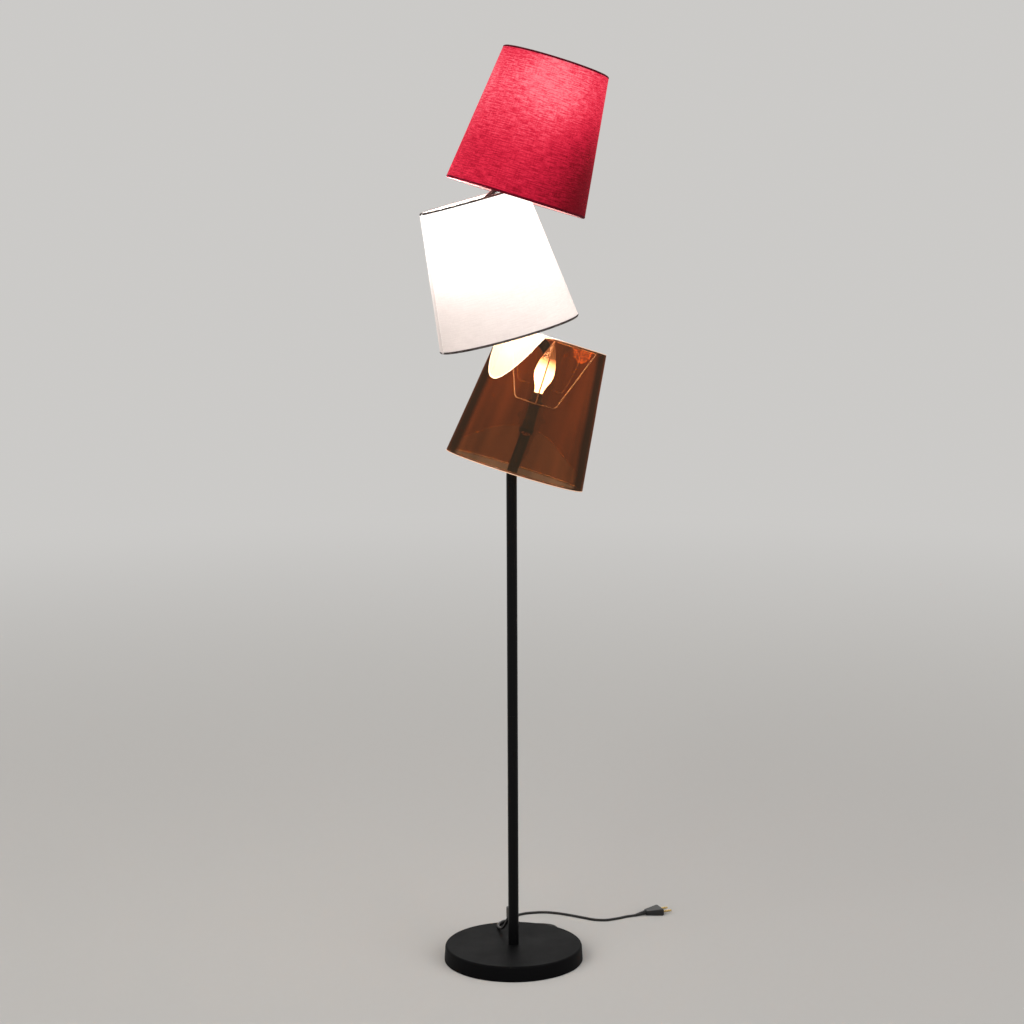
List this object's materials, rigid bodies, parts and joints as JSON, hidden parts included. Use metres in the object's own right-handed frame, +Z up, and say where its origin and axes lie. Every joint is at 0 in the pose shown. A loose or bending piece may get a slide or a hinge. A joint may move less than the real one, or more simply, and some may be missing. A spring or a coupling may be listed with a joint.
{
  "type": "floor lamp",
  "caption": "Floor lamp on a round weighted base, with a slim pole and a bent stem that carries tapered drum shades tilted left and right as if tumbling.",
  "frame": {"origin": "centre of the underside of the base's pad, on the floor", "axes": "+Z up along the pole, -Y towards the front, +X to the right seen from the front; the cord leaves at the back"},
  "size_m": [0.4669, 0.4049, 1.6392],
  "materials": {
    "black_paint": "satin black powder coat",
    "cast_iron": "rough cast",
    "felt": "pressed felt",
    "steel": "zinc plated",
    "nickel": "nickel plated",
    "brass": "bright",
    "black_plastic": "fine matte",
    "white_wire": "white powder coat",
    "copper_film": "translucent metallised film, half mirror",
    "white_fabric": "fine plain weave on a stiff liner",
    "red_fabric": "slubbed linen weave on a stiff liner",
    "bulb_glass": "clear, slightly warm",
    "filament": "glowing filament",
    "cord_pvc": "smooth PVC sheath"
  },
  "bodies": {
    "stand": {"base_cover": "black_paint", "base_weight": "cast_iron", "base_pad": "felt", "base_bolt": "steel", "base_washer": "steel", "pole_foot": "steel", "pole_lower": "black_paint", "pole_coupler": "steel", "pole_upper": "black_paint", "stem": "black_paint", "stem_cap": "black_plastic", "inner_cable": "cord_pvc", "lower_bracket": "black_paint", "lower_nipple": "brass", "lower_lead": "cord_pvc", "lower_holder": "black_plastic", "lower_contact": "brass", "middle_bracket": "black_paint", "middle_nipple": "brass", "middle_lead": "cord_pvc", "middle_holder": "black_plastic", "middle_contact": "brass", "upper_bracket": "black_paint", "upper_nipple": "brass", "upper_lead": "cord_pvc", "upper_holder": "black_plastic", "upper_contact": "brass", "cord_gland": "black_plastic", "cord_start": "cord_pvc", "cord_hank": "cord_pvc", "hank_tie": "black_plastic", "cord_end": "cord_pvc", "plug_body": "black_plastic", "plug_pins": "brass"},
    "lower_shade_set": {"lower_shade": "copper_film", "lower_carrier": "white_wire", "lower_top_ring": "white_wire", "lower_bottom_ring": "white_wire"},
    "lower_nut": {"lower_ring_nut": "black_plastic"},
    "lower_bulb": {"lower_bulb_cap": "nickel", "lower_bulb_glass": "bulb_glass", "lower_filament": "filament"},
    "middle_shade_set": {"middle_shade": "white_fabric", "middle_carrier": "white_wire", "middle_top_ring": "white_wire", "middle_bottom_ring": "white_wire"},
    "middle_nut": {"middle_ring_nut": "black_plastic"},
    "middle_bulb": {"middle_bulb_cap": "nickel", "middle_bulb_glass": "bulb_glass", "middle_filament": "filament"},
    "upper_shade_set": {"upper_shade": "red_fabric", "upper_carrier": "white_wire", "upper_top_ring": "white_wire", "upper_bottom_ring": "white_wire"},
    "upper_nut": {"upper_ring_nut": "black_plastic"},
    "upper_bulb": {"upper_bulb_cap": "nickel", "upper_bulb_glass": "bulb_glass", "upper_filament": "filament"}
  },
  "joints": [
    {"name": "lower_shade_turn", "type": "hinge", "parent": "stand", "child": "lower_shade_set", "pos_m": [0.005, -0.01, 0.901], "axis": [0.299, 0.0499, 0.9529], "range_deg": [-30, 30]},
    {"name": "lower_nut_turn", "type": "hinge", "parent": "stand", "child": "lower_nut", "pos_m": [0.005, -0.01, 0.901], "axis": [0.299, 0.0499, 0.9529], "range_deg": [0, 720]},
    {"name": "lower_bulb_turn", "type": "hinge", "parent": "stand", "child": "lower_bulb", "pos_m": [0.005, -0.01, 0.901], "axis": [0.299, 0.0499, 0.9529], "range_deg": [0, 900]},
    {"name": "middle_shade_turn", "type": "hinge", "parent": "stand", "child": "middle_shade_set", "pos_m": [-0.003, -0.01, 1.142], "axis": [-0.2605, -0.0438, 0.9645], "range_deg": [-30, 30]},
    {"name": "middle_nut_turn", "type": "hinge", "parent": "stand", "child": "middle_nut", "pos_m": [-0.003, -0.01, 1.142], "axis": [-0.2605, -0.0438, 0.9645], "range_deg": [0, 720]},
    {"name": "middle_bulb_turn", "type": "hinge", "parent": "stand", "child": "middle_bulb", "pos_m": [-0.003, -0.01, 1.142], "axis": [-0.2605, -0.0438, 0.9645], "range_deg": [0, 900]},
    {"name": "upper_shade_turn", "type": "hinge", "parent": "stand", "child": "upper_shade_set", "pos_m": [0.009, -0.01, 1.379], "axis": [0.294, 0, 0.9558], "range_deg": [-30, 30]},
    {"name": "upper_nut_turn", "type": "hinge", "parent": "stand", "child": "upper_nut", "pos_m": [0.009, -0.01, 1.379], "axis": [0.294, 0, 0.9558], "range_deg": [0, 720]},
    {"name": "upper_bulb_turn", "type": "hinge", "parent": "stand", "child": "upper_bulb", "pos_m": [0.009, -0.01, 1.379], "axis": [0.294, 0, 0.9558], "range_deg": [0, 900]}
  ]
}
